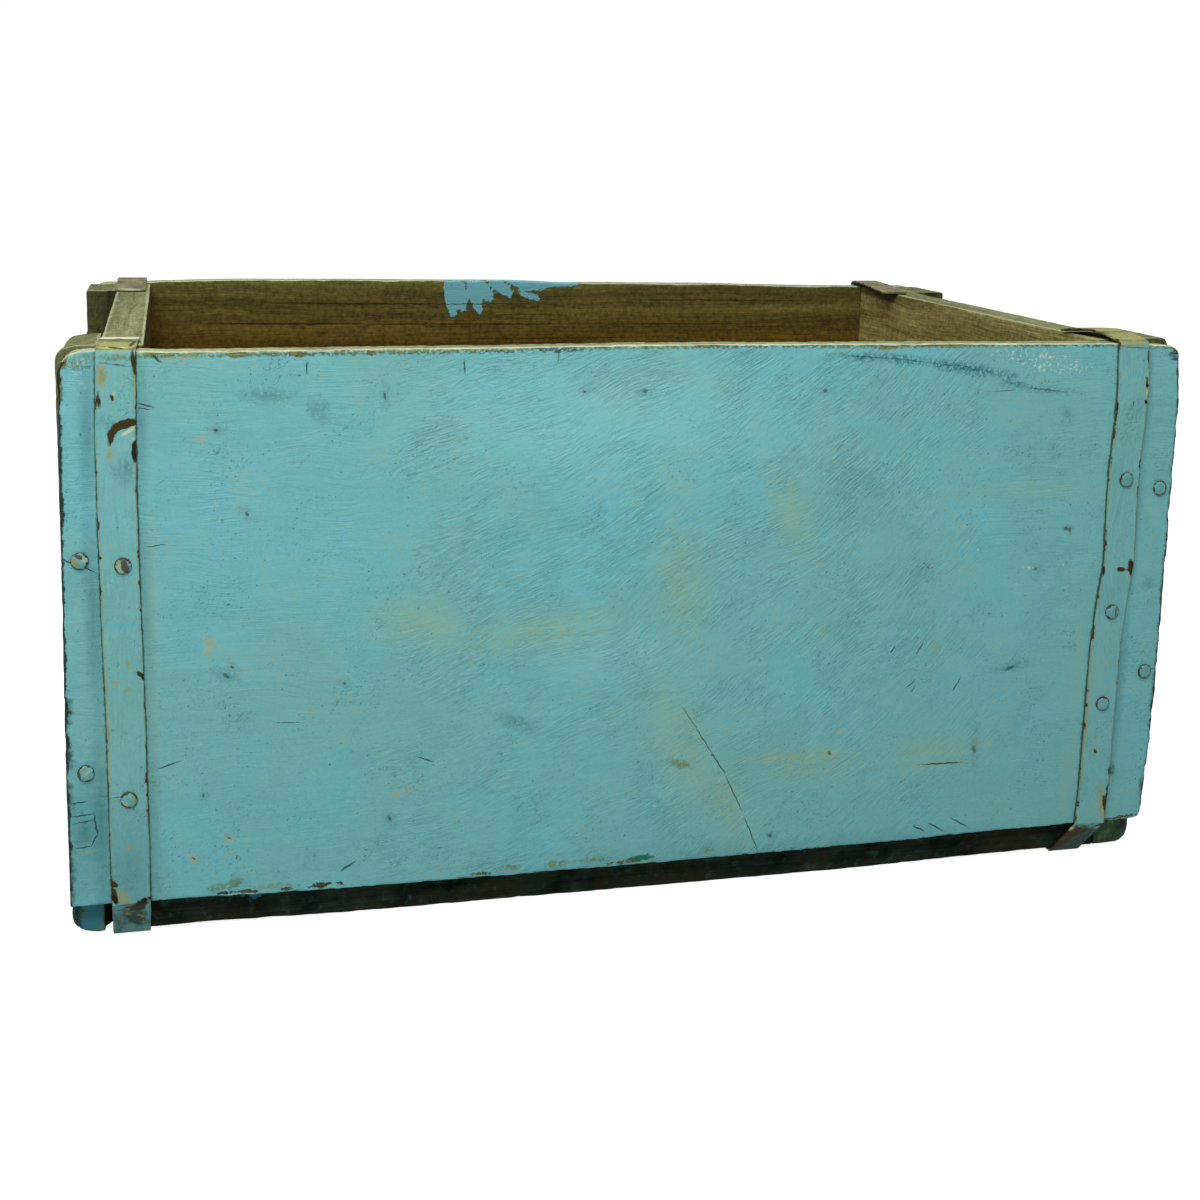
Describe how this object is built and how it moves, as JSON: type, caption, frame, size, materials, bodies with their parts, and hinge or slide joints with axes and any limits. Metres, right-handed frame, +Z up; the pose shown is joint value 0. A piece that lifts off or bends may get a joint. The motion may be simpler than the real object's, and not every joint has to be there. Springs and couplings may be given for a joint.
{
  "type": "wooden drink crate",
  "caption": "Open wooden drink crate with wide side boards, corner cleats, hand slots in its ends and two hoop-iron straps folded over the rim.",
  "frame": {"origin": "centre of the crate's footprint, on the plane that the straps' undersides stand on", "axes": "+X along the length to the right end, front board towards -Y, +Z up"},
  "size_m": [0.5192, 0.3192, 0.265],
  "materials": {
    "painted_wood": "blue brush-painted softwood board, worn",
    "cleat_wood": "blue brush-painted batten, bare and grey on top",
    "bare_wood": "bare weathered board",
    "grimy_wood": "bare board, blackened with grime",
    "strap_iron": "painted hoop iron with rust at its edges",
    "nail_iron": "painted round nail head, rust round its edge"
  },
  "bodies": {
    "root": {"bottom_board_1": "grimy_wood", "bottom_board_2": "grimy_wood", "bottom_board_3": "grimy_wood", "front_board": "painted_wood", "front_left_cleat": "cleat_wood", "front_left_end_nail_1": "nail_iron", "front_left_end_nail_2": "nail_iron", "front_left_strap_nail_1": "nail_iron", "front_left_strap_nail_2": "nail_iron", "front_right_cleat": "cleat_wood", "front_right_end_nail_1": "nail_iron", "front_right_end_nail_2": "nail_iron", "front_right_strap_nail_1": "nail_iron", "front_right_strap_nail_2": "nail_iron", "front_right_strap_nail_3": "nail_iron", "left_bottom_nail_1": "nail_iron", "left_bottom_nail_2": "nail_iron", "left_bottom_nail_3": "nail_iron", "left_bottom_nail_4": "nail_iron", "left_bottom_nail_5": "nail_iron", "left_bottom_nail_6": "nail_iron", "left_cleat_nail_1": "nail_iron", "left_cleat_nail_2": "nail_iron", "left_cleat_nail_3": "nail_iron", "left_cleat_nail_4": "nail_iron", "left_end_panel": "bare_wood", "left_strap": "strap_iron", "rear_board": "painted_wood", "rear_left_cleat": "cleat_wood", "rear_left_end_nail_1": "nail_iron", "rear_left_end_nail_2": "nail_iron", "rear_left_strap_nail_1": "nail_iron", "rear_left_strap_nail_2": "nail_iron", "rear_right_cleat": "cleat_wood", "rear_right_end_nail_1": "nail_iron", "rear_right_end_nail_2": "nail_iron", "rear_right_strap_nail_1": "nail_iron", "rear_right_strap_nail_2": "nail_iron", "rear_right_strap_nail_3": "nail_iron", "right_bottom_nail_1": "nail_iron", "right_bottom_nail_2": "nail_iron", "right_bottom_nail_3": "nail_iron", "right_bottom_nail_4": "nail_iron", "right_bottom_nail_5": "nail_iron", "right_bottom_nail_6": "nail_iron", "right_cleat_nail_1": "nail_iron", "right_cleat_nail_2": "nail_iron", "right_cleat_nail_3": "nail_iron", "right_cleat_nail_4": "nail_iron", "right_end_panel": "bare_wood", "right_strap": "strap_iron"}
  },
  "joints": []
}
